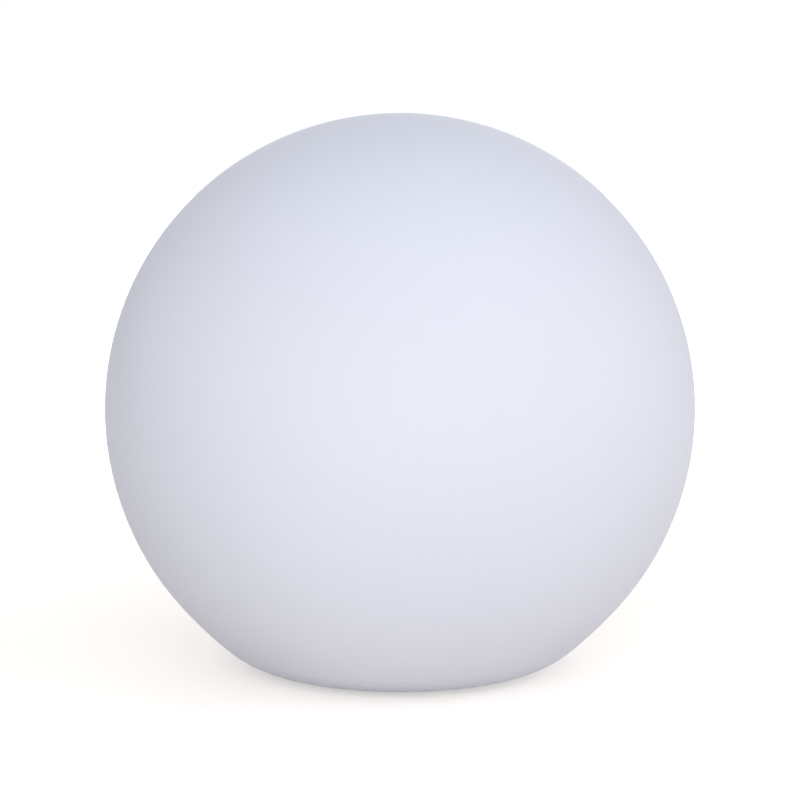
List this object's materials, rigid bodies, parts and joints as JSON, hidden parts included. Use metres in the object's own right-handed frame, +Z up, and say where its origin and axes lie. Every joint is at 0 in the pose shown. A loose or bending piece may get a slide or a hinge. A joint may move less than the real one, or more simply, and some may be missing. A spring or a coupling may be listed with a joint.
{
  "type": "garden globe light",
  "caption": "Frosted globe light that stands on a flattened foot, with a sealed rechargeable light module screwed into a recess underneath.",
  "frame": {"origin": "centre of the foot on the ground, under the middle of the globe", "axes": "+Z up along the globe's axis of symmetry; +Y runs from the button row to the vent, away from the viewer of the picture"},
  "size_m": [0.3999, 0.4, 0.3775],
  "materials": {
    "globe_plastic": "satin, faintly grained, translucent white polyethylene",
    "pad_rubber": "matt",
    "insert_brass": "knurled",
    "seal_silicone": "matt silicone",
    "collar_plastic": "matt",
    "steel_screws": "stainless",
    "ring_plastic": "matt",
    "module_plastic": "matt",
    "panel_plastic": "matt, finely grained",
    "tray_plastic": "matt black",
    "cell_sleeve": null,
    "nickel": "plain",
    "circuit_board": "solder mask",
    "white_board": "white solder mask",
    "component_black": "matt",
    "plate_aluminium": "milled",
    "emitter": "phosphor in a white frame",
    "receiver_black": "infra-red filter",
    "dome_plastic": "frosted",
    "socket_plastic": "moulded",
    "clear_plastic": "clear",
    "button_rubber": "matt",
    "cover_rubber": "matt",
    "lead_red": "insulation",
    "lead_black": "insulation",
    "lead_white": "insulation"
  },
  "bodies": {
    "globe": {"globe_shell": "globe_plastic", "rubber_pads": "pad_rubber", "threaded_inserts": "insert_brass", "collar_gasket": "seal_silicone", "neck_collar": "collar_plastic", "collar_screws": "steel_screws"},
    "light_module": {"module_can": "module_plastic", "module_seal": "seal_silicone", "base_panel": "panel_plastic", "panel_seal": "seal_silicone", "panel_screws": "steel_screws", "battery_tray": "tray_plastic", "tray_screws": "steel_screws", "battery_cells": "cell_sleeve", "battery_tabs": "nickel", "control_board": "circuit_board", "board_components": "component_black", "board_screws": "steel_screws", "led_plate": "plate_aluminium", "led_board": "white_board", "led_emitters": "emitter", "led_screws": "steel_screws", "ir_receiver": "receiver_black", "diffuser_dome": "dome_plastic", "dome_seal": "seal_silicone", "row_board": "circuit_board", "row_components": "component_black", "row_screws": "steel_screws", "charging_socket": "socket_plastic", "socket_seal": "seal_silicone", "charge_lamp": "clear_plastic", "button_boot": "seal_silicone", "switch_body": "socket_plastic", "cover_anchor": "cover_rubber", "vent_plug": "socket_plastic", "positive_leads": "lead_red", "negative_leads": "lead_black", "signal_leads": "lead_white"},
    "screw_ring": {"screw_ring": "ring_plastic"},
    "power_button": {"power_button": "button_rubber", "switch_plunger": "receiver_black"},
    "port_cover": {"port_cover": "cover_rubber"}
  },
  "joints": [
    {"name": "module_drop", "type": "slide", "parent": "globe", "child": "light_module", "axis": [0, 0, -1], "range_m": [0, 0.007]},
    {"name": "ring_turn", "type": "hinge", "parent": "light_module", "child": "screw_ring", "pos_m": [0, 0, 0.022], "axis": [0, 0, -1], "range_deg": [0, 720]},
    {"name": "button_press", "type": "slide", "parent": "light_module", "child": "power_button", "axis": [0, 0, 1], "range_m": [0, 0.0012], "stiffness_N_per_m": 800, "springref_m": -0.002},
    {"name": "port_cover_open", "type": "hinge", "parent": "light_module", "child": "port_cover", "pos_m": [-0.012, -0.019, 0.0205], "axis": [1, 0, 0], "range_deg": [0, 120]}
  ],
  "couplings": [
    {"joint": "module_drop", "follows": "ring_turn", "m_per_rad": 0.00055704}
  ]
}
